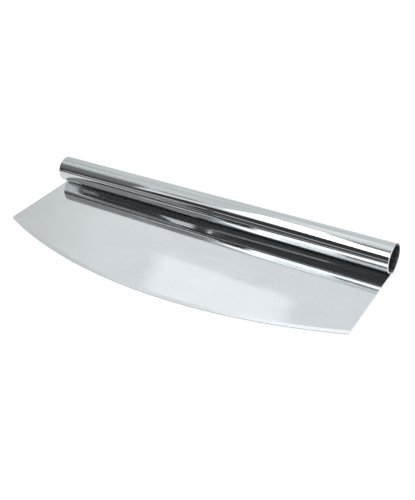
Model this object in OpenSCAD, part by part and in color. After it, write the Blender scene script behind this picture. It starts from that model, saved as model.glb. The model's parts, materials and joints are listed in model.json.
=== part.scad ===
// Rocking pizza knife, made from one sheet of polished stainless steel: a flat blade with a long
// curved cutting edge, whose top is rolled forward into the open tube that is its handle. The
// bend starts on a slightly wider arc, so the roll's lip comes round to rest on the blade's face.
// The knife lies on its back. +X runs along the handle, +Y from the cutting edge towards the
// handle, and +Z out of the blade's front face. The origin is the middle of its footprint.

/* [Knife] */
// Length of the blade and of its handle, from end to end
knife_len = 356; // [200:1:510]
// Depth from the back of the handle to the lowest point of the cutting edge
knife_depth = 128; // [95:1:180]
// Thickness of the sheet
sheet_t = 1.5; // [0.8:0.1:2.5]
// Rounding of the sheet's two cut ends, which are deburred and polished
rim_r = 0.4; // [0.1:0.05:0.6]

/* [Cutting edge] */
// Radius of the arc that the knife rocks on
edge_r = 508; // [300:1:1200]
// Width of the bevel ground on both faces along the edge
grind_w = 3; // [1:0.1:6]
// Thickness that the grinding leaves at the edge
edge_land = 0.3; // [0.1:0.05:0.7]
// Rounding of the two points where the edge meets the ends
tip_r = 1.5; // [0.5:0.1:4]

/* [Handle] */
// Outside diameter of the roll
handle_d = 25.4; // [18:0.1:40]
// Depth of the flat dressed on the roll's outside, where the lip sits on the blade's front face
seat_depth = 0.375; // [0.25:0.005:0.5]
// Distance that the lip's end stops short of the bend line
lip_gap = 0.3; // [0.2:0.1:1.5]

/* [Seam tacks] */
// Length of each tack weld along the seam
tack_len = 6; // [2:0.5:20]
// Distance from the handle's end to its tack
tack_inset = 1; // [0.5:0.5:10]
// Length that the tack runs out from the lip's end, over the bend line and up the roll
tack_run = 2.5; // [1.5:0.1:4]
// Thickness of the weld's toe, where it runs out
tack_toe = 0.2; // [0.1:0.05:0.25]

/* [Hidden] */

half_len = knife_len / 2;
handle_r = handle_d / 2;
bore_r = handle_r - sheet_t;

// A rim rounded on both sides takes at most this share of the sheet on each
rim_share = 0.45;
rim = min(rim_r, rim_share * sheet_t);

// Measured from the bend line: the lip's heel, where its flat seat ends and its end face starts
heel_y = -lip_gap;

// The roll rests on the blade's front face, pressed down by the seat's depth. The first arc of
// the bend starts flush with the blade's back and is as much wider as it takes to end flush with
// the roll. From its axis to the roll's is the long side of a triangle of 8, 15 and 17 units,
// in whole thousandths of a millimetre, so that both arcs come out exact and meet exactly.
unit = round((sheet_t - seat_depth) / 9 * 1000) / 1000;
axis_back = 15 * unit;
axis_drop = 8 * unit;
start_r = handle_r + 17 * unit;
start_bore_r = start_r - sheet_t;
axis_z = start_r - axis_drop;
lip_z = axis_z - sqrt(bore_r * bore_r - pow(axis_back - heel_y, 2));

bend_y = knife_depth / 2 - handle_r - axis_back;
edge_centre_y = edge_r - knife_depth / 2;

// Cutting tools pass this far beyond what they cut
past = 1;
// The plane through both axes is drawn out to this many times the distance between them
far = 12;
arc_facets = 1440;
roll_facets = 180;
corner_facets = 32;

// Bar that is the sheet's section, with rounded corners
module sheet_section(length, thickness, corner) {
    square([length - 2 * corner, thickness], center = true);
    square([length, thickness - 2 * corner], center = true);
    for (x = [-1, 1], y = [-1, 1])
        translate([x * (length / 2 - corner), y * (thickness / 2 - corner)])
            circle(corner, $fn = corner_facets);
}

// Flat sheet from below the edge up to the bend line
module flat_sheet() {
    translate([0, bend_y, sheet_t / 2])
        rotate([90, 0, 0])
            linear_extrude(knife_depth)
                sheet_section(knife_len, sheet_t, rim);
}

// Disc with the edge's radius and a bevel on both faces: where it meets the sheet it gives the
// rocking arc and its ground edge
module ground_disc() {
    flat_r = edge_r - grind_w;
    land_low = (sheet_t - edge_land) / 2;
    land_high = (sheet_t + edge_land) / 2;
    translate([0, edge_centre_y, 0])
        rotate_extrude($fn = arc_facets)
            polygon([[0, 0], [flat_r, 0], [edge_r, land_low], [edge_r, land_high],
                     [flat_r, sheet_t], [0, sheet_t]]);
}

// What is taken off the right-hand point to round it: the corner outside a circle that touches
// both the sheet's end and the cutting arc
module tip_cut() {
    centre_x = half_len - tip_r;
    drop = sqrt(pow(edge_r - tip_r, 2) - centre_x * centre_x);
    centre = [centre_x, edge_centre_y - drop];
    outward = [centre_x, -drop] / (edge_r - tip_r);
    on_end = [half_len + past, centre[1]];
    on_arc = centre + outward * (tip_r + past);
    translate([0, 0, -past])
        linear_extrude(sheet_t + 2 * past)
            difference() {
                polygon([centre, on_end, [on_end[0], on_arc[1] - past], on_arc]);
                translate(centre)
                    circle(tip_r, $fn = corner_facets);
            }
}

module blade() {
    color([0.84, 0.86, 0.87])
        difference() {
            intersection() {
                flat_sheet();
                ground_disc();
            }
            tip_cut();
            mirror([1, 0, 0]) tip_cut();
        }
}

// Whole tube along the knife, with rounded rims at both mouths, set on the sheet's back
module tube(outer_r) {
    translate([0, bend_y, outer_r])
        rotate([0, 90, 0])
            rotate_extrude($fn = roll_facets)
                translate([outer_r - sheet_t / 2, 0])
                    rotate(90)
                        sheet_section(knife_len, sheet_t, rim);
}

// A section in the plane across the handle, drawn from the bend line at the blade's back and
// run along the knife for a length
module along_knife(length) {
    translate([0, bend_y, 0])
        rotate([90, 0, 90])
            linear_extrude(length, center = true)
                children();
}

// Point behind the handle on the plane through both axes
function behind() = [0, start_r] + far * [axis_back, -axis_drop];

// First arc, from the bend line to the plane through both axes
module start_arc() {
    intersection() {
        tube(start_r);
        along_knife(knife_len + 2 * past)
            polygon([[0, -past], [0, start_r], behind(), [behind()[0], -past]]);
    }
}

// Rest of the roll, round to the lip, which is dressed flat to sit on the blade, with its end
// face square to the sheet
module main_arc() {
    difference() {
        translate([0, axis_back, axis_z - handle_r])
            tube(handle_r);
        along_knife(knife_len + 2 * past)
            polygon([[-handle_d, -past], [-handle_d, sheet_t], [heel_y, sheet_t], [heel_y, axis_z],
                     [axis_back, axis_z], behind(), [behind()[0], -past]]);
    }
}

module rolled_handle() {
    color([0.74, 0.76, 0.78]) {
        start_arc();
        main_arc();
    }
}

// Height of a weld's face over the inside of the first arc, at a distance past the bend line
function weld_top(y) = start_r - sqrt(start_bore_r * start_bore_r - y * y) + tack_toe;

// Fillet inside the roll, in the nook between the lip's end face, the blade and the first arc.
// Its face stays below the bore.
module tack() {
    along_knife(tack_len)
        intersection() {
            polygon([[heel_y, sheet_t], [tack_run, sheet_t], [tack_run, weld_top(tack_run)],
                     [heel_y, lip_z]]);
            union() {
                translate([0, start_r])
                    circle(start_bore_r, $fn = roll_facets);
                translate([heel_y, sheet_t])
                    square([-heel_y, lip_z - sheet_t]);
            }
        }
}

module seam_tacks() {
    tack_x = half_len - tack_inset - tack_len / 2;
    color([0.6, 0.61, 0.62])
        for (x = [-tack_x, tack_x])
            translate([x, 0, 0]) tack();
}

blade();
rolled_handle();
seam_tacks();
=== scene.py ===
"""Looks of a rocking pizza knife: one polished stainless sheet, with a long curved cutting edge,
whose top is rolled into an open tube that is the handle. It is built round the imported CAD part.
The knife lies on its back: +X runs along the handle, +Y from the edge towards the handle."""

import json
import math

import bmesh
import bpy
from bpy.props import FloatProperty, FloatVectorProperty, IntProperty, PointerProperty
from mathutils import Matrix, Vector


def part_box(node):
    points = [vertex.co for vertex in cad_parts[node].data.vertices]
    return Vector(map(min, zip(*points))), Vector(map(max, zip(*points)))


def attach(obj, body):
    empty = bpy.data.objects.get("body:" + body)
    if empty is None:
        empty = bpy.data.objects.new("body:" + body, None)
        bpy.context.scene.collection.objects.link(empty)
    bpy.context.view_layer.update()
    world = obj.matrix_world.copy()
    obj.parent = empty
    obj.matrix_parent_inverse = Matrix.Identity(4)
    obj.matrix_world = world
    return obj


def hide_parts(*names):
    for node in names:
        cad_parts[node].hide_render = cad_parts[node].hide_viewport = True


bl_info = {
    "name": "Rocking pizza knife",
    "version": (1, 0, 0),
    "blender": (4, 5, 0),
    "location": "3D View > Sidebar > Pizza knife",
    "description": "Builds a rocking pizza knife rolled from one polished sheet, and its studio",
    "category": "Add Mesh",
}

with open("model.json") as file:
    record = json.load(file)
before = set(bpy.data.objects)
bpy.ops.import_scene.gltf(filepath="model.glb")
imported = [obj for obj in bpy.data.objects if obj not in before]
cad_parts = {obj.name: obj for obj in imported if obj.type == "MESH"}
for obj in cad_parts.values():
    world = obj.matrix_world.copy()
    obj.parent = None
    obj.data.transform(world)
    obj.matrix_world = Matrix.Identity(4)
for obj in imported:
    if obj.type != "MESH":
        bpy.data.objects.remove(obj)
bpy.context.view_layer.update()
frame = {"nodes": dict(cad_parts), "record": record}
BLADE_LOW, BLADE_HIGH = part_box("blade")
HANDLE_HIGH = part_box("rolled_handle")[1]
BORE = next(mount for mount in frame["record"]["mounts"] if mount["kind"] == "bore")

MM = 0.001
# Points this close to a plane or to each other count as on it, or as one
TOUCH = 1e-7

# The blade's disc is spun a little past the sheet's ends and starts a little behind the bend line
DISC_REACH = 1.02
DISC_START = 0.98
# Steps in which the quarter turns of the blade's rounded ends, and the turns of its tips, are cut
RIM_CUTS = 6
TIP_CUTS = 8
# Faces over the handle's rounded rims and over the flat of its lip. The first arc gets one face
# for every five of the roll's
RIM_SEGMENTS = 5
LIP_STEPS = 3
FIRST_ARC_SHARE = 5
# Angles this close, in radians, count as equal
ANGLE_SLACK = 0.01
# Edges where the surface turns by more than this many degrees are sharp
BLADE_CREASE = 8
HANDLE_CREASE = 22

# Places of the blade's and the handle's materials on their pieces
BLADE_FACE, GROUND_FACE, LAND_FACE = 0, 1, 2
OUTER_FACE, BORE_FACE, RIM_FACE = 0, 1, 2
# Least and most tilt out of level, in degrees, of the ground bevel, and least tilt of the land
BEVEL_TILT = (3, 25)
LAND_TILT = 84
# How far, at least, a normal points along the knife on the blade's ends and on the handle's rims
END_FACING = 0.6
RIM_FACING = 0.3
# The bore's faces are those whose normals point away from the roll's axis by less than this
BORE_FACING = -0.5

# Noise keeps mostly between these values
NOISE_LOW = 0.3
NOISE_HIGH = 0.7
# Counts of features per metre along X, Y and Z
HANDLE_STREAKS = (6, 700, 700)
HANDLE_LINES = (14, 2600, 2600)
HANDLE_WAVES = (9, 34, 34)
SHEET_CLOUDS = (26, 38, 38)
SHEET_MOTTLE = (420, 520, 520)
SHEET_SCRATCHES = (30, 1900, 300)
GRINDING_LINES = (2400, 120, 120)
LAND_GRAIN = (900, 900, 200)
BORE_LINES = (8, 900, 900)
RIM_GRAIN = (300, 900, 900)
WELD_GRAIN = (1100, 500, 500)
# Directions of the blade's scratches, in degrees
SCRATCH_TURNS = (-38, 52)
# The roll's rim carries a painted highlight at its front and top, and is this many times lighter there.
# It turns bright between these places, along Y from the roll's axis and along Z from the knife's back
RIM_HIGHLIGHT_GAIN = 9
RIM_HIGHLIGHT_Y = (-4 * MM, 2 * MM)
RIM_HIGHLIGHT_Z = (3 * MM, 8 * MM)

# The camera that was fitted to the photograph: angles in degrees, places in metres
PHOTO_LONG_SIDE = 500
SENSOR_MM = 36.0
FOCAL_PIXELS = 688.51
CAMERA_AZIMUTH = 37.927
CAMERA_ELEVATION = 34.869
CAMERA_ROLL = -6.508
CAMERA_DISTANCE = 0.60007
CAMERA_TARGET = (0.02599, 0.01013, 0)
NEAREST_SEEN = 0.01

# The table reaches this many metres each way, and lies just under the knife. It glows a little to
# the camera and in reflections, so that it is plain white there and keeps the knife's shadow
TABLE_REACH = 6
TABLE_DROP = 0.3 * MM
TABLE_COLOUR = (0.85, 0.85, 0.85, 1)
TABLE_GLOW = 0.4

STUDIO_TINT = (0.965, 1, 1.02, 1)
WHITE = (1, 1, 1, 1)
BLACK = (0, 0, 0, 1)
# The studio's cards stand this many metres from the knife, each a little nearer than the one
# before, and have this many cells each way
CARD_DISTANCE = 3.0
CARD_SPACING = 0.01
CARD_CELLS = 12
# No card is seen after this reflection
LAST = 9
# Name, level of light, blurred share of width and height, the first and the last reflection of a
# ray that show it, and corners as (lean, rise) in degrees. The real sheet isn't perfectly flat and
# round, so its later reflections meet the room elsewhere: late cards serve the second reflection,
# and nook cards those after it, in the nook between the roll and the blade
CARDS = (
    ("dark_front", 0.065, (0.02, 0.08), (1, LAST), ((-62, -4), (30, -4), (30, 46), (-62, 46))),
    ("grey_left", 0.26, (0.06, 0.4), (1, LAST), ((-66, 14), (-36.5, 14), (-36.5, 86), (-66, 86))),
    ("left_low_glow", 0.4, (0.15, 0.3), (1, LAST), ((-46, -6), (-33, -6), (-32, 22), (-44, 13))),
    ("softbox", 3.0, (0.05, 0.06), (1, LAST), ((-31.6, 54), (15, 8), (15, 80), (-26.2, 95))),
    ("right_grey", 1.08, (0.1, 0.1), (1, LAST), ((-21, 80), (10, 40), (10, 116), (-21, 116))),
    ("softbox_notch", 0.35, (0.3, 0.3), (1, LAST), ((-18.4, 70), (-8, 60), (-8, 82), (-18.4, 87))),
    ("left_patch", 0.4, (0.4, 0.4), (1, LAST), ((-38, 50), (-30, 56), (-30, 72), (-38, 68))),
    ("tongue", 1.3, (0.12, 0.3), (1, LAST), ((-39.5, 31), (-29, 49), (-29, 67), (-38.5, 51))),
    ("low_line_left", 0.75, (0.05, 0.3), (1, LAST), ((-46, 3), (-31, 15), (-31, 23), (-46, 11))),
    ("low_line_right", 0.9, (0.05, 0.3), (1, LAST), ((-31.5, 13), (-8, 2), (-8, 8), (-31.5, 20))),
    ("late_left", 0.53, (0.05, 0.1), (2, LAST), ((-60, 24), (-29.5, 24), (-29.5, 105), (-60, 105))),
    ("late_left_dark", 0.3, (0.2, 0.4), (2, LAST), ((-37, 42), (-30, 42), (-30, 64), (-37, 64))),
    ("late_softbox", 3.0, (0.04, 0.1), (2, LAST), ((-27.1, 26), (8, -5), (8, 60), (-27.1, 52))),
    ("late_upper", 2.15, (0.08, 0.3), (2, LAST), ((-25.4, 40), (8, 42), (8, 98), (-23.6, 98))),
    ("late_right_grey", 1.4, (0.12, 0.25), (2, LAST), ((-19.4, 56), (8, 50), (8, 100), (-19.4, 100))),
    ("late_notch", 0.35, (0.25, 0.3), (2, LAST), ((-19.2, 36), (-10, 36), (-10, 60), (-18, 60))),
    ("nook_shade", 0.13, (0.02, 0.02), (3, LAST), ((-70, -20), (60, -20), (60, 110), (-70, 110))),
    (
        "deep_nook_shade", 0.27, (0.02, 0.02), (4, LAST),
        ((-70, -20), (60, -20), (60, 110), (-70, 110)),
    ),
    ("nook_glow", 0.8, (0.05, 0.4), (3, 3), ((-31, 34), (-18, 49), (-18, 68), (-31, 51))),
    (
        "nook_end_light", 1.9, (0.01, 0.05), (3, LAST),
        ((-52, -30), (-43.8, -30), (-43.8, 110), (-52, 110)),
    ),
    ("nook_end_grey", 0.7, (0.2, 0.3), (3, 3), ((-43.7, 34), (-41.9, 34), (-41.9, 72), (-43.7, 72))),
    ("late_line", 2.0, (0.1, 0.3), (2, 2), ((-38.5, 40), (-29, 36), (-29, 41), (-38.5, 45))),
    ("nook_tongue", 1.9, (0.08, 0.12), (3, 3), ((-34.2, -6), (-32.5, -6), (-32.3, 42), (-36.2, 42))),
    ("nook_thread", 2.4, (0.3, 0.2), (3, 3), ((-31.1, -8), (-30.6, -8), (-30.4, 42), (-30.9, 42))),
    ("bevel_shade", 0.74, (0.3, 0.2), (1, LAST), ((-72, 98), (-35, 98), (-35, 124), (-72, 124))),
    ("bevel_light", 1.36, (0.3, 0.2), (1, LAST), ((-28, 98), (8, 98), (8, 124), (-28, 124))),
    ("rear_left", 0.78, (0.3, 0.1), (1, LAST), ((-75, 126), (-38, 126), (-38, 170), (-75, 170))),
    (
        "rear_bright", 1.24, (0.14, 0.05), (1, LAST),
        ((-35.4, 128), (-19, 128), (-19, 136.6), (-35.4, 136.8)),
    ),
)
# The grey and dark cards that lie on the table before the knife: name, level of light, and lowest
# and highest x and y in metres
APRONS = (
    ("apron_left", 0.45, (-2.9, -2.9), (-0.15, -0.066)),
    ("apron_right", 0.06, (-0.15, -2.9), (2.9, -0.066)),
)
APRON_LIFT = 0.2 * MM


class KnifeSizes(bpy.types.PropertyGroup):
    """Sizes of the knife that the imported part's boxes don't give"""

    edge_radius: FloatProperty(
        name="Edge radius", description="Radius of the arc that the knife rocks on",
        default=508 * MM, min=0.3, max=1.2, unit="LENGTH")
    grind_width: FloatProperty(
        name="Grind width", description="Width of the bevel ground on both faces at the edge",
        default=3 * MM, min=1 * MM, max=6 * MM, unit="LENGTH")
    edge_land: FloatProperty(
        name="Edge land", description="Thickness that the grinding leaves at the edge",
        default=0.3 * MM, min=0.1 * MM, max=0.7 * MM, unit="LENGTH")
    tip_radius: FloatProperty(
        name="Tip radius", description="Rounding of the two points at the ends of the edge",
        default=1.5 * MM, min=0.5 * MM, max=4 * MM, unit="LENGTH")
    rim_radius: FloatProperty(
        name="Rim radius", description="Rounding of the sheet's cut ends",
        default=0.4 * MM, min=0.1 * MM, max=0.6 * MM, unit="LENGTH")
    lip_gap: FloatProperty(
        name="Lip gap", description="Distance that the lip's end stops short of the bend line",
        default=0.3 * MM, min=0.2 * MM, max=1.5 * MM, unit="LENGTH")
    roll_steps: IntProperty(
        name="Roll steps", description="Faces round the handle",
        default=240, min=48, max=720)
    edge_steps: IntProperty(
        name="Edge steps", description="Faces along the cutting edge",
        default=144, min=24, max=720)


class KnifeFinish(bpy.types.PropertyGroup):
    """Colours and polish of the steel"""

    handle_colour: FloatVectorProperty(
        name="Handle steel", description="Colour of the polished handle",
        default=(0.518, 0.53, 0.537), min=0, max=1, subtype="COLOR")
    blade_colour: FloatVectorProperty(
        name="Blade steel", description="Colour of the bright blade",
        default=(0.657, 0.67, 0.68), min=0, max=1, subtype="COLOR")
    ground_colour: FloatVectorProperty(
        name="Ground edge", description="Colour of the freshly ground bevel",
        default=(0.69, 0.7, 0.71), min=0, max=1, subtype="COLOR")
    bore_colour: FloatVectorProperty(
        name="Bore", description="Colour of the unpolished inside of the handle",
        default=(0.4, 0.415, 0.42), min=0, max=1, subtype="COLOR")
    # The roll's cut rims take this colour, and the edge's land takes it as a painted shade line
    cut_rim_and_land_shade_colour: FloatVectorProperty(
        name="Cut ends", description="Colour of the roll's sheared rims and of the edge's land",
        default=(0.08, 0.082, 0.085), min=0, max=1, subtype="COLOR")
    weld_colour: FloatVectorProperty(
        name="Weld metal", description="Colour of the tack welds inside the lip",
        default=(0.34, 0.34, 0.35), min=0, max=1, subtype="COLOR")
    handle_polish: FloatProperty(
        name="Handle roughness", description="Roughness of the handle's polish",
        default=0.03, min=0, max=1, subtype="FACTOR")
    blade_polish: FloatProperty(
        name="Blade roughness", description="Roughness of the blade's faces",
        default=0.035, min=0, max=1, subtype="FACTOR")


def as_object(shape, name, materials):
    """The finished shape as a new object at the origin."""
    mesh = bpy.data.meshes.new(name)
    shape.to_mesh(mesh)
    shape.free()
    for material in materials:
        mesh.materials.append(material)
    piece = bpy.data.objects.new(name, mesh)
    bpy.context.scene.collection.objects.link(piece)
    return piece


def weigh_normals(piece):
    """Lets the large faces set the normals, so a mirror-flat face shows no ramp at its rounded rim."""
    weighted = piece.modifiers.new("Weighted normals", "WEIGHTED_NORMAL")
    weighted.mode = "FACE_AREA"
    weighted.keep_sharp = True
    weighted.weight = 100


def plane_off(shape, point, outward):
    """Cuts off what lies beyond a plane and closes the cut."""
    cut = bmesh.ops.bisect_plane(
        shape, geom=shape.verts[:] + shape.edges[:] + shape.faces[:], dist=TOUCH,
        plane_co=point, plane_no=outward, clear_outer=True)
    border = [e for e in cut["geom_cut"] if isinstance(e, bmesh.types.BMEdge) and e.is_boundary]
    if border:
        bmesh.ops.edgeloop_fill(shape, edges=border)


def smooth_to_creases(shape, crease):
    """Smooths all faces, and marks as sharp the edges where the surface turns by more than an
    angle in degrees."""
    for face in shape.faces:
        face.smooth = True
    for edge in shape.edges:
        edge.smooth = len(edge.link_faces) == 2 and edge.calc_face_angle() < math.radians(crease)


def blade_shape(sizes):
    """Disc with a ground rim, spun about the centre of the rocking arc, then cut to the sheet."""
    half_length = BLADE_HIGH.x
    bend_y = BLADE_HIGH.y
    thickness = BLADE_HIGH.z
    centre = Vector((0, BLADE_LOW.y + sizes.edge_radius, 0))
    reach = math.atan2(half_length, centre.y - bend_y) * DISC_REACH
    inner = (centre.y - bend_y) * DISC_START
    flat_radius = sizes.edge_radius - sizes.grind_width
    land = sizes.edge_land / 2
    middle = thickness / 2
    section = [
        (inner, 0), (flat_radius, 0),
        (sizes.edge_radius, middle - land), (sizes.edge_radius, middle + land),
        (flat_radius, thickness), (inner, thickness),
    ]
    shape = bmesh.new()
    turn = Matrix.Rotation(-reach, 4, "Z")
    corners = [shape.verts.new(centre + turn @ Vector((0, -r, z))) for r, z in section]
    outline = [shape.edges.new((corners[i - 1], corners[i])) for i in range(len(corners))]
    spun = bmesh.ops.spin(
        shape, geom=corners + outline, cent=centre, axis=(0, 0, 1), dvec=(0, 0, 0),
        angle=2 * reach, steps=sizes.edge_steps, use_merge=False, use_duplicate=False)
    bmesh.ops.edgeloop_fill(shape, edges=outline)
    last = [e for e in spun["geom_last"] if isinstance(e, bmesh.types.BMEdge)]
    bmesh.ops.edgeloop_fill(shape, edges=last)
    bmesh.ops.recalc_face_normals(shape, faces=shape.faces[:])

    # The cuts are the bend line, then at each end the end, its rounded rims and its tip
    plane_off(shape, (0, bend_y, 0), (0, 1, 0))
    rim = sizes.rim_radius
    tip_x = half_length - sizes.tip_radius
    tip_drop = math.sqrt((sizes.edge_radius - sizes.tip_radius) ** 2 - tip_x ** 2)
    tip_centre = Vector((tip_x, centre.y - tip_drop, 0))
    tip_turn = math.atan2(tip_drop, tip_x)
    for side in (-1, 1):
        plane_off(shape, (side * half_length, 0, 0), (side, 0, 0))
        for step in range(1, RIM_CUTS):
            slope = math.pi / 2 * step / RIM_CUTS
            for face_z, up in ((0, -1), (thickness, 1)):
                outward = Vector((side * math.cos(slope), 0, up * math.sin(slope)))
                corner = Vector((side * (half_length - rim), 0, face_z - up * rim))
                plane_off(shape, corner + outward * rim, outward)
        for step in range(1, TIP_CUTS):
            slope = tip_turn * step / TIP_CUTS
            outward = Vector((side * math.cos(slope), -math.sin(slope), 0))
            corner = Vector((side * tip_centre.x, tip_centre.y, 0))
            plane_off(shape, corner + outward * sizes.tip_radius, outward)
    bmesh.ops.remove_doubles(shape, verts=shape.verts[:], dist=TOUCH)
    bmesh.ops.dissolve_degenerate(shape, edges=shape.edges[:], dist=TOUCH)
    smooth_to_creases(shape, BLADE_CREASE)
    for face in shape.faces:
        tilt = math.degrees(math.acos(min(1, abs(face.normal.z))))
        ground = BEVEL_TILT[0] < tilt < BEVEL_TILT[1]
        on_arc = (face.calc_center_median() - centre).to_2d().length > flat_radius
        if abs(face.normal.x) > END_FACING or on_arc and ground:
            face.material_index = GROUND_FACE
        # The land takes the dark cut colour, a painted shade line along the edge
        elif on_arc and tilt > LAND_TILT:
            face.material_index = LAND_FACE
        else:
            face.material_index = BLADE_FACE
    return shape


def handle_shape(sizes):
    """The sheet's section at the bend line, spun up a wide first arc and then round the roll's own
    axis to the lip, which lies flat on the blade."""
    half_length = HANDLE_HIGH.x
    thickness = BLADE_HIGH.z
    bend_y = BLADE_HIGH.y
    axis = Vector(BORE["pos_m"])
    bore = BORE["dims"]["r_mm"] * MM
    outer = bore + thickness
    behind = axis.y - bend_y
    # The first arc ends flush with the roll, which gives the height of its axis
    start = Vector((0, bend_y, (behind ** 2 + axis.z ** 2 - outer ** 2) / (2 * (axis.z - outer))))
    below_level = math.atan2(start.z - axis.z, behind)
    seat = axis.z - thickness
    toe_angle = math.acos(seat / outer)
    heel_run = behind + sizes.lip_gap
    heel_angle = math.atan2(heel_run, seat)
    heel_y = axis.y - heel_run
    shape = bmesh.new()
    section = [(-half_length, 0), (half_length, 0), (half_length, thickness), (-half_length, thickness)]
    corners = [shape.verts.new((x, bend_y, z)) for x, z in section]
    outline = [shape.edges.new((corners[i - 1], corners[i])) for i in range(len(corners))]
    last = corners + outline
    turns = (
        (start, math.pi / 2 - below_level, sizes.roll_steps // FIRST_ARC_SHARE),
        (axis, below_level + 3 * math.pi / 2 - toe_angle, sizes.roll_steps),
        (axis, toe_angle - heel_angle, LIP_STEPS),
    )
    for centre, angle, steps in turns:
        last = bmesh.ops.spin(
            shape, geom=last, cent=centre, axis=(1, 0, 0), dvec=(0, 0, 0), angle=angle,
            steps=steps, use_merge=False, use_duplicate=False)["geom_last"]
    bmesh.ops.edgeloop_fill(shape, edges=outline)
    bmesh.ops.edgeloop_fill(shape, edges=[e for e in last if isinstance(e, bmesh.types.BMEdge)])
    # The lip's end face stands square to the blade
    for vert in last:
        if isinstance(vert, bmesh.types.BMVert):
            on_bore = (vert.co - axis).yz.length < (bore + outer) / 2
            lip_z = axis.z - math.sqrt(bore ** 2 - heel_run ** 2) if on_bore else thickness
            vert.co = (vert.co.x, heel_y, lip_z)
    # What would dip into the blade is flattened onto its face
    for vert in shape.verts:
        if vert.co.y < bend_y - TOUCH and vert.co.z < thickness - TOUCH:
            inward = (vert.co - axis) * seat / (axis.z - vert.co.z)
            vert.co = Vector((vert.co.x, axis.y + inward.y, thickness))
    bmesh.ops.recalc_face_normals(shape, faces=shape.faces[:])
    rims = [
        e for e in shape.edges
        if all(abs(abs(v.co.x) - half_length) < TOUCH for v in e.verts)
        and len(e.link_faces) == 2 and abs(e.calc_face_angle() - math.pi / 2) < ANGLE_SLACK
        and e.calc_length() < thickness / 2
    ]
    bmesh.ops.bevel(
        shape, geom=rims, offset=sizes.rim_radius, offset_type="OFFSET", segments=RIM_SEGMENTS,
        profile=0.5, affect="EDGES", clamp_overlap=False, material=-1)
    smooth_to_creases(shape, HANDLE_CREASE)
    for face in shape.faces:
        outwards = face.normal.dot((face.calc_center_median() - axis).normalized())
        if abs(face.normal.x) > RIM_FACING:
            face.material_index = RIM_FACE
        else:
            face.material_index = BORE_FACE if outwards < BORE_FACING else OUTER_FACE
    return shape


def new_material(name):
    """A node material, its nodes and links, and its Principled shader."""
    material = bpy.data.materials.new(name)
    material.use_nodes = True
    nodes = material.node_tree.nodes
    return material, nodes, material.node_tree.links, nodes["Principled BSDF"]


def feed(links, value, socket):
    """Links a node's output to an input, or sets the input to a constant."""
    if isinstance(value, bpy.types.NodeSocket):
        links.new(value, socket)
    else:
        socket.default_value = value


def maths(nodes, links, operation, *values):
    """Output of a Math node over sockets and constants."""
    node = nodes.new("ShaderNodeMath")
    node.operation = operation
    for socket, value in zip(node.inputs, values):
        feed(links, value, socket)
    return node.outputs[0]


def grain(nodes, links, per_metre, detail=3, turn=0):
    """Noise on the object's own coordinates, with a count of features per metre along each axis."""
    place = nodes.new("ShaderNodeTexCoord")
    fit = nodes.new("ShaderNodeMapping")
    fit.inputs["Rotation"].default_value = (0, 0, math.radians(turn))
    fit.inputs["Scale"].default_value = per_metre
    links.new(place.outputs["Object"], fit.inputs["Vector"])
    noise = nodes.new("ShaderNodeTexNoise")
    noise.inputs["Scale"].default_value = 1
    noise.inputs["Detail"].default_value = detail
    links.new(fit.outputs[0], noise.inputs["Vector"])
    return noise.outputs["Fac"]


def stretch(nodes, links, value, low, high, to_low, to_high, smooth=False):
    """Maps a range of a value to another range, with its ends held."""
    node = nodes.new("ShaderNodeMapRange")
    node.interpolation_type = "SMOOTHSTEP" if smooth else "LINEAR"
    for socket, number in zip(node.inputs[:5], (value, low, high, to_low, to_high)):
        feed(links, number, socket)
    return node.outputs[0]


def spread(nodes, links, noise, low, high):
    """Spreads a noise over a range."""
    return stretch(nodes, links, noise, NOISE_LOW, NOISE_HIGH, low, high)


def make_steel(nodes, links, shader, colour, tone, gloss, bumps):
    """Turns a shader to steel. Tone is how many times lighter the colour is from place to place,
    and gloss the roughness. The bumps are pairs of height and metres, each on top of the one
    before."""
    tinted = nodes.new("ShaderNodeVectorMath")
    tinted.operation = "SCALE"
    tinted.inputs[0].default_value = colour
    links.new(tone, tinted.inputs["Scale"])
    links.new(tinted.outputs[0], shader.inputs["Base Color"])
    shader.inputs["Metallic"].default_value = 1
    links.new(gloss, shader.inputs["Roughness"])
    normal = None
    for height, depth in bumps:
        bump = nodes.new("ShaderNodeBump")
        bump.inputs["Distance"].default_value = depth
        links.new(height, bump.inputs["Height"])
        if normal:
            links.new(normal, bump.inputs["Normal"])
        normal = bump.outputs[0]
    links.new(normal, shader.inputs["Normal"])


def polished_steel(name, colour, roughness, streaks, waves):
    """Steel polished along X: long fine streaks in its tone and gloss, and slow waves from rolling.
    Streaks is how much the tone varies, and waves the depth of the rolling in metres."""
    material, nodes, links, shader = new_material(name)
    long_streaks = grain(nodes, links, HANDLE_STREAKS)
    fine_lines = grain(nodes, links, HANDLE_LINES, detail=2)
    slow_waves = grain(nodes, links, HANDLE_WAVES, detail=1)
    fine_share = 0.4
    least, most = 0.4, 1
    both = maths(nodes, links, "MULTIPLY_ADD", fine_lines, fine_share, long_streaks)
    tone = stretch(nodes, links, both, least, most, 1 - streaks, 1 + streaks)
    gloss = spread(nodes, links, long_streaks, low=roughness * 0.7, high=roughness * 1.4)
    line_depth = waves / 100
    bumps = [(slow_waves, waves), (fine_lines, line_depth)]
    make_steel(nodes, links, shader, colour, tone, gloss, bumps)
    return material


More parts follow.
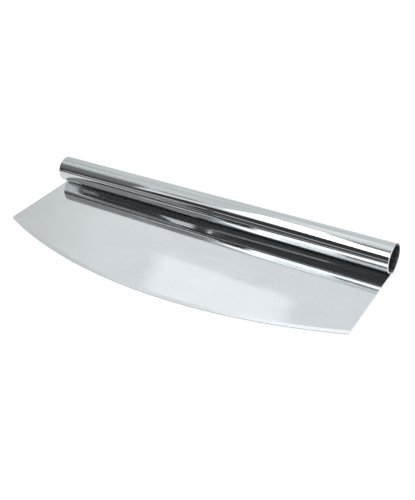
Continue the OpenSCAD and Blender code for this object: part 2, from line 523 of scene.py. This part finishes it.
def bright_sheet(name, colour, roughness):
    """Bright rolled sheet: cloudy tone, a fine grain, and a few hairline scratches."""
    material, nodes, links, shader = new_material(name)
    clouds = grain(nodes, links, SHEET_CLOUDS, detail=4)
    mottle = grain(nodes, links, SHEET_MOTTLE, detail=2)
    scratches = [grain(nodes, links, SHEET_SCRATCHES, 0, turn) for turn in SCRATCH_TURNS]
    tone = spread(nodes, links, clouds, low=0.97, high=1.02)
    speckle = spread(nodes, links, mottle, low=0.985, high=1.015)
    tone = maths(nodes, links, "MULTIPLY", tone, speckle)
    marks = 0
    scratch_from, scratch_full = 0.71, 0.76
    scratch_tone, scratch_roughness = 0.03, 0.1
    cloud_depth = 0.01 * MM
    for scratch in scratches:
        mark = stretch(nodes, links, scratch, scratch_from, scratch_full, 0, 1, smooth=True)
        marks = maths(nodes, links, "MAXIMUM", mark, marks)
    tone = maths(nodes, links, "MULTIPLY_ADD", marks, scratch_tone, tone)
    gloss = spread(nodes, links, clouds, low=roughness * 0.7, high=roughness * 1.3)
    gloss = maths(nodes, links, "MULTIPLY_ADD", marks, scratch_roughness, gloss)
    make_steel(nodes, links, shader, colour, tone, gloss, [(clouds, cloud_depth)])
    return material


def ground_steel(name, colour):
    """Steel ground across the cutting edge, with short lines square to it."""
    material, nodes, links, shader = new_material(name)
    lines = grain(nodes, links, GRINDING_LINES, detail=2)
    line_depth = 0.004 * MM
    tone = spread(nodes, links, lines, low=0.94, high=1.04)
    gloss = spread(nodes, links, lines, low=0.13, high=0.22)
    make_steel(nodes, links, shader, colour, tone, gloss, [(lines, line_depth)])
    return material


def painted_rim_highlight(nodes, links, bright):
    """Painted highlight on the roll's rim: how many times lighter it is than bare cut steel, once at
    its back and close to the table, and more at its front and top."""
    place = nodes.new("ShaderNodeTexCoord")
    parts = nodes.new("ShaderNodeSeparateXYZ")
    links.new(place.outputs["Object"], parts.inputs[0])
    bright_y, dark_y = (BORE["pos_m"][1] + y for y in RIM_HIGHLIGHT_Y)
    front = stretch(nodes, links, parts.outputs["Y"], bright_y, dark_y, 1, 0, smooth=True)
    raised = stretch(nodes, links, parts.outputs["Z"], *RIM_HIGHLIGHT_Z, 0, 1, smooth=True)
    highlight_share = maths(nodes, links, "MULTIPLY", front, raised)
    return stretch(nodes, links, highlight_share, 0, 1, 1, bright)


def dull_steel(name, colour, roughness, per_metre, depth, bright=1):
    """Unpolished steel: sheared, milled or welded, by the scale of its grain and the grain's depth
    in metres. Bright is how many times lighter a rim's front and top are painted, a painted highlight."""
    material, nodes, links, shader = new_material(name)
    marks = grain(nodes, links, per_metre, detail=4)
    tone = spread(nodes, links, marks, low=0.75, high=1.2)
    # A painted highlight at the rim's front and top
    if bright != 1:
        tone = maths(nodes, links, "MULTIPLY", tone, painted_rim_highlight(nodes, links, bright))
    gloss = spread(nodes, links, marks, low=roughness * 0.8, high=roughness * 1.25)
    make_steel(nodes, links, shader, colour, tone, gloss, [(marks, depth)])
    return material


class KNIFE_OT_blade(bpy.types.Operator):
    """Build the flat blade with its ground rocking edge"""

    bl_idname = "pizza_knife.blade"
    bl_label = "Blade"

    def execute(self, context):
        finish = context.scene.knife_finish
        materials = [
            bright_sheet("bright_blade_steel", finish.blade_colour, finish.blade_polish),
            ground_steel("ground_edge_steel", finish.ground_colour),
            # The edge's land is painted dark, a painted shade line along the cutting edge
            dull_steel(
                "honed_land_steel", finish.cut_rim_and_land_shade_colour, roughness=0.3, per_metre=LAND_GRAIN,
                depth=0.002 * MM),
        ]
        piece = as_object(blade_shape(context.scene.knife_sizes), "bright_blade", materials)
        weigh_normals(piece)
        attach(piece, "root")
        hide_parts("blade")
        return {"FINISHED"}


class KNIFE_OT_handle(bpy.types.Operator):
    """Build the handle that is rolled from the top of the sheet"""

    bl_idname = "pizza_knife.handle"
    bl_label = "Rolled handle"

    def execute(self, context):
        finish = context.scene.knife_finish
        materials = [
            polished_steel(
                "polished_handle_steel", finish.handle_colour, finish.handle_polish, streaks=0.2,
                waves=0.02 * MM),
            dull_steel(
                "mill_bore_steel", finish.bore_colour, roughness=0.3, per_metre=BORE_LINES,
                depth=0.008 * MM),
            # The sheared rims: dark cut steel with a painted highlight at the roll's front and top
            dull_steel(
                "sheared_rim_steel", finish.cut_rim_and_land_shade_colour, roughness=0.3, per_metre=RIM_GRAIN,
                depth=0.004 * MM, bright=RIM_HIGHLIGHT_GAIN),
        ]
        piece = as_object(handle_shape(context.scene.knife_sizes), "polished_handle", materials)
        weigh_normals(piece)
        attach(piece, "root")
        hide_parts("rolled_handle")
        return {"FINISHED"}


class KNIFE_OT_tacks(bpy.types.Operator):
    """Finish the tack welds that hold the lip of the roll to the blade"""

    bl_idname = "pizza_knife.tacks"
    bl_label = "Seam tacks"

    def execute(self, context):
        colour = context.scene.knife_finish.weld_colour
        metal = dull_steel(
            "dull_weld_metal", colour, roughness=0.45, per_metre=WELD_GRAIN, depth=0.06 * MM)
        piece = frame["nodes"]["seam_tacks"]
        piece.data.materials.clear()
        piece.data.materials.append(metal)
        return {"FINISHED"}


def round_the_knife(lean, rise, distance):
    """A point on a cylinder round the X axis: lean is the angle of its direction from the plane
    across the knife, towards the right end, and rise the angle over the front horizon."""
    lean, rise = math.radians(lean), math.radians(rise)
    return Vector((math.tan(lean), -math.cos(rise), math.sin(rise))) * distance


def hang_card(shape, name, material):
    """Adds a card to the stage that only the steel's reflections show."""
    card = as_object(shape, name, [material])
    card.visible_camera = False
    card.visible_diffuse = False
    card.visible_shadow = False


def card_shape(corners, distance):
    """A card bent round the knife. Its corners are (lean, rise) pairs: bottom left, bottom right,
    top right, top left."""
    shape = bmesh.new()
    shape.loops.layers.uv.new("sheet")
    bmesh.ops.create_grid(shape, x_segments=CARD_CELLS, y_segments=CARD_CELLS, size=0.5, calc_uvs=True)
    bottom_left, bottom_right, top_right, top_left = (Vector(corner) for corner in corners)
    for vert in shape.verts:
        across, up = vert.co.x + 0.5, vert.co.y + 0.5
        low = bottom_left.lerp(bottom_right, across)
        high = top_left.lerp(top_right, across)
        lean, rise = low.lerp(high, up)
        vert.co = round_the_knife(lean, rise, distance)
    return shape


def card_glow(name, level, blur, seen):
    """The even glow of a card. Blur is the share of the card's width and of its height over which
    it fades. Seen is the first and the last reflection of a ray that show it."""
    material, nodes, links, shader = new_material(name)
    nodes.remove(shader)
    place = nodes.new("ShaderNodeTexCoord")
    parts = nodes.new("ShaderNodeSeparateXYZ")
    links.new(place.outputs["UV"], parts.inputs[0])
    mask = 1
    for axis, share in enumerate(blur):
        offset = maths(nodes, links, "SUBTRACT", parts.outputs[axis], 0.5)
        offset = maths(nodes, links, "ABSOLUTE", offset)
        side = stretch(nodes, links, offset, 0.5 - share, 0.5, 1, 0, smooth=True)
        mask = maths(nodes, links, "MULTIPLY", side, mask)
    depth = nodes.new("ShaderNodeLightPath").outputs["Ray Depth"]
    for operation, limit in (("GREATER_THAN", seen[0] - 0.5), ("LESS_THAN", seen[1] + 0.5)):
        mask = maths(nodes, links, "MULTIPLY", mask, maths(nodes, links, operation, depth, limit))
    glow = nodes.new("ShaderNodeEmission")
    glow.inputs["Color"].default_value = STUDIO_TINT
    glow.inputs["Strength"].default_value = level
    clear = nodes.new("ShaderNodeBsdfTransparent")
    mix = nodes.new("ShaderNodeMixShader")
    links.new(mask, mix.inputs[0])
    links.new(clear.outputs[0], mix.inputs[1])
    links.new(glow.outputs[0], mix.inputs[2])
    links.new(mix.outputs[0], nodes["Material Output"].inputs["Surface"])
    return material


def apron(name, level, low, high):
    """A dull card that lies on the table and is seen only in the steel."""
    shape = bmesh.new()
    bmesh.ops.create_grid(shape, x_segments=1, y_segments=1, size=0.5)
    middle = (Vector(low) + Vector(high)) / 2
    size = Vector(high) - Vector(low)
    bmesh.ops.scale(shape, vec=(size.x, size.y, 1), verts=shape.verts[:])
    bmesh.ops.translate(shape, vec=(middle.x, middle.y, APRON_LIFT), verts=shape.verts[:])
    material, *_, shader = new_material(name)
    shader.inputs["Base Color"].default_value = BLACK
    shader.inputs["Specular IOR Level"].default_value = 0
    shader.inputs["Emission Color"].default_value = WHITE
    shader.inputs["Emission Strength"].default_value = level
    hang_card(shape, name, material)


class KNIFE_OT_stage(bpy.types.Operator):
    """Set up the white room, its table, the cards of light and shade, and the camera"""

    bl_idname = "pizza_knife.stage"
    bl_label = "Studio and camera"

    def execute(self, context):
        scene = context.scene
        world = bpy.data.worlds.new("white_room")
        scene.world = world
        world.use_nodes = True
        background = world.node_tree.nodes["Background"]
        background.inputs["Color"].default_value = STUDIO_TINT
        background.inputs["Strength"].default_value = 1
        self.lay_table()
        for number, (name, level, blur, seen, corners) in enumerate(CARDS):
            shape = card_shape(corners, CARD_DISTANCE - number * CARD_SPACING)
            hang_card(shape, name, card_glow(name, level, blur, seen))
        for name, level, low, high in APRONS:
            apron(name, level, low, high)
        self.aim_camera(scene)
        scene.view_settings.view_transform = "Standard"
        return {"FINISHED"}

    def lay_table(self):
        """The white table that the knife lies on."""
        shape = bmesh.new()
        bmesh.ops.create_grid(shape, x_segments=1, y_segments=1, size=TABLE_REACH)
        bmesh.ops.translate(shape, vec=(0, 0, -TABLE_DROP), verts=shape.verts[:])
        material, nodes, links, shader = new_material("white_table_top")
        shader.inputs["Base Color"].default_value = TABLE_COLOUR
        shader.inputs["Roughness"].default_value = 1
        shader.inputs["Specular IOR Level"].default_value = 0
        shader.inputs["Emission Color"].default_value = WHITE
        path = nodes.new("ShaderNodeLightPath")
        seen = path.outputs["Is Camera Ray"]
        for kind in ("Is Glossy Ray", "Is Transmission Ray"):
            seen = maths(nodes, links, "MAXIMUM", path.outputs[kind], seen)
        glow = maths(nodes, links, "MULTIPLY", seen, TABLE_GLOW)
        links.new(glow, shader.inputs["Emission Strength"])
        table = as_object(shape, "white_table", [material])

    def aim_camera(self, scene):
        """The camera, where it was fitted to the photograph's outlines."""
        azimuth = math.radians(CAMERA_AZIMUTH)
        elevation = math.radians(CAMERA_ELEVATION)
        roll = math.radians(CAMERA_ROLL)
        level = math.cos(elevation)
        back = Vector((math.sin(azimuth) * level, -math.cos(azimuth) * level, math.sin(elevation)))
        right = (-back).cross(Vector((0, 0, 1))).normalized()
        up = right.cross(-back)
        axes = (
            right * math.cos(roll) + up * math.sin(roll),
            up * math.cos(roll) - right * math.sin(roll),
            back,
        )
        data = bpy.data.cameras.new("camera")
        data.sensor_width = SENSOR_MM
        data.lens = FOCAL_PIXELS * SENSOR_MM / PHOTO_LONG_SIDE
        data.clip_start = NEAREST_SEEN
        camera = bpy.data.objects.new("camera", data)
        scene.collection.objects.link(camera)
        place = Matrix(axes).transposed().to_4x4()
        place.translation = Vector(CAMERA_TARGET) + back * CAMERA_DISTANCE
        camera.matrix_world = place
        scene.camera = camera


class KNIFE_PT_panel(bpy.types.Panel):
    """Lists the knife's sizes, finishes and building steps"""

    bl_label = "Pizza knife"
    bl_idname = "KNIFE_PT_panel"
    bl_space_type = "VIEW_3D"
    bl_region_type = "UI"
    bl_category = "Pizza knife"

    def draw(self, context):
        layout = self.layout
        for group in (context.scene.knife_sizes, context.scene.knife_finish):
            box = layout.box()
            for name in group.__annotations__:
                box.prop(group, name)
        for step in BUILD_STEPS:
            layout.operator(step.bl_idname)


BUILD_STEPS = (KNIFE_OT_blade, KNIFE_OT_handle, KNIFE_OT_tacks, KNIFE_OT_stage)
CLASSES = (KnifeSizes, KnifeFinish, *BUILD_STEPS, KNIFE_PT_panel)


def register():
    for made in CLASSES:
        bpy.utils.register_class(made)
    bpy.types.Scene.knife_sizes = PointerProperty(type=KnifeSizes)
    bpy.types.Scene.knife_finish = PointerProperty(type=KnifeFinish)


def unregister():
    del bpy.types.Scene.knife_finish
    del bpy.types.Scene.knife_sizes
    for made in reversed(CLASSES):
        bpy.utils.unregister_class(made)


def main():
    register()
    bpy.ops.pizza_knife.blade()
    bpy.ops.pizza_knife.handle()
    bpy.ops.pizza_knife.tacks()
    bpy.ops.pizza_knife.stage()


if __name__ == "__main__":
    main()
